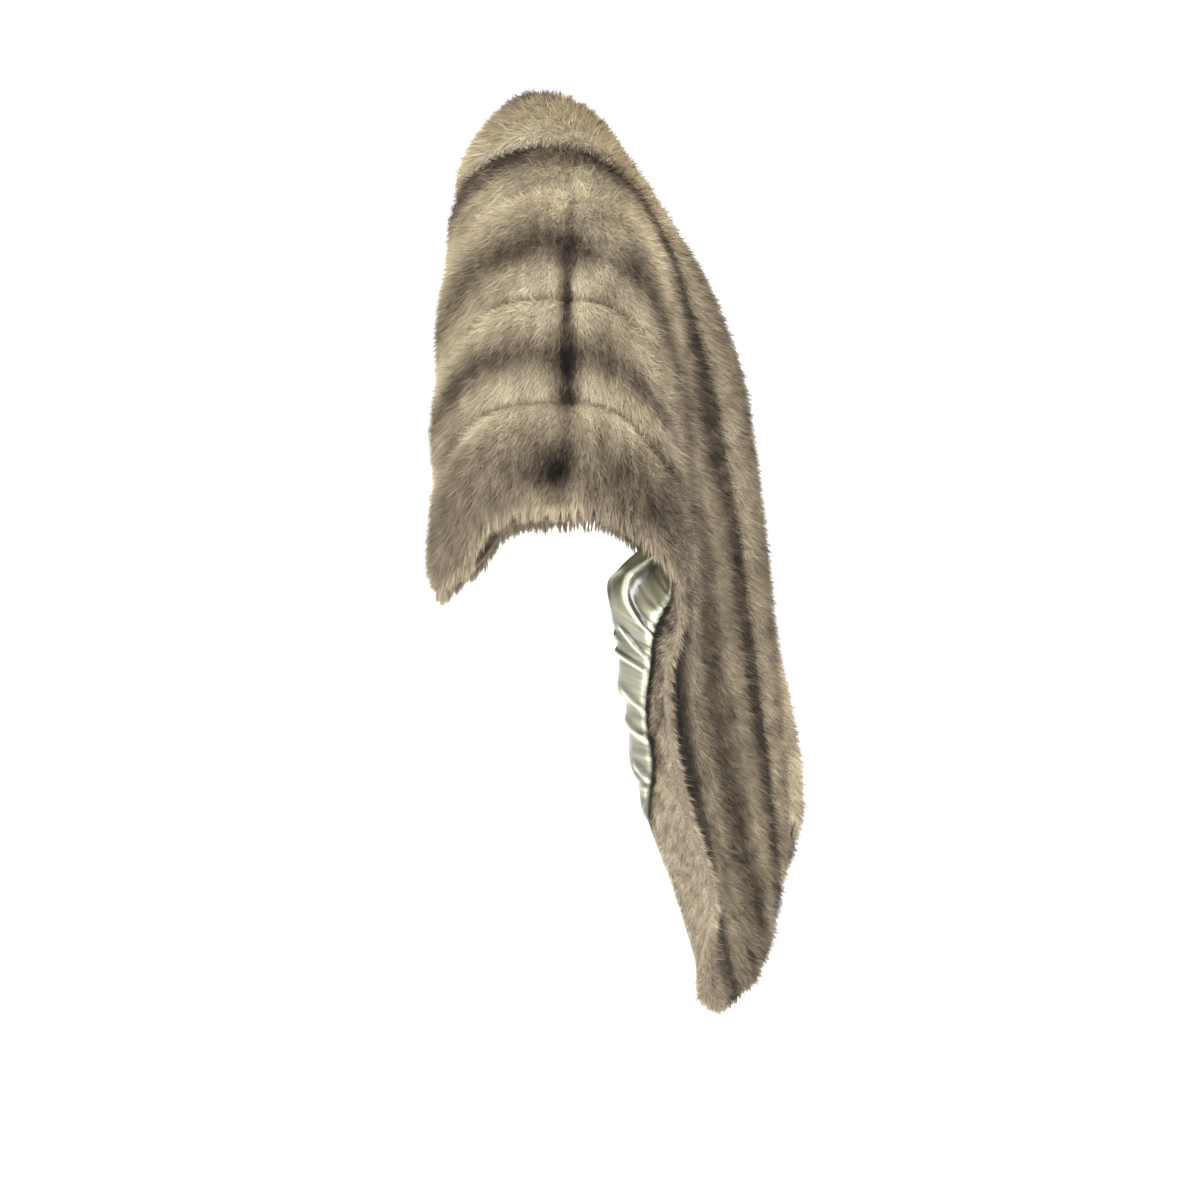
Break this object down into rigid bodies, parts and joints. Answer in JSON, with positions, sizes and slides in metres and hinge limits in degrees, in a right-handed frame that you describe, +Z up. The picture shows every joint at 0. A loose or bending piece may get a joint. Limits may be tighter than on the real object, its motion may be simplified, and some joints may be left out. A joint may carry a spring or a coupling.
{
  "type": "evening stole",
  "caption": "Hip-length mink evening stole with shawl collar, open long fronts and satin lining, in its worn, hollow shape.",
  "frame": {"origin": "midway between the two shoulder points that carry the stole", "axes": "+Z up, the fronts at -Y and the back at +Y, the right front at -X"},
  "size_m": [0.5933, 0.3964, 0.9349],
  "materials": {
    "mink_fur": "soft fur, satin guard hairs",
    "satin_lining": "glossy satin"
  },
  "bodies": {
    "root": {"back": "mink_fur", "right_front": "mink_fur", "left_front": "mink_fur", "right_collar": "mink_fur", "left_collar": "mink_fur", "back_lining": "satin_lining", "right_front_lining": "satin_lining", "left_front_lining": "satin_lining"}
  },
  "joints": []
}
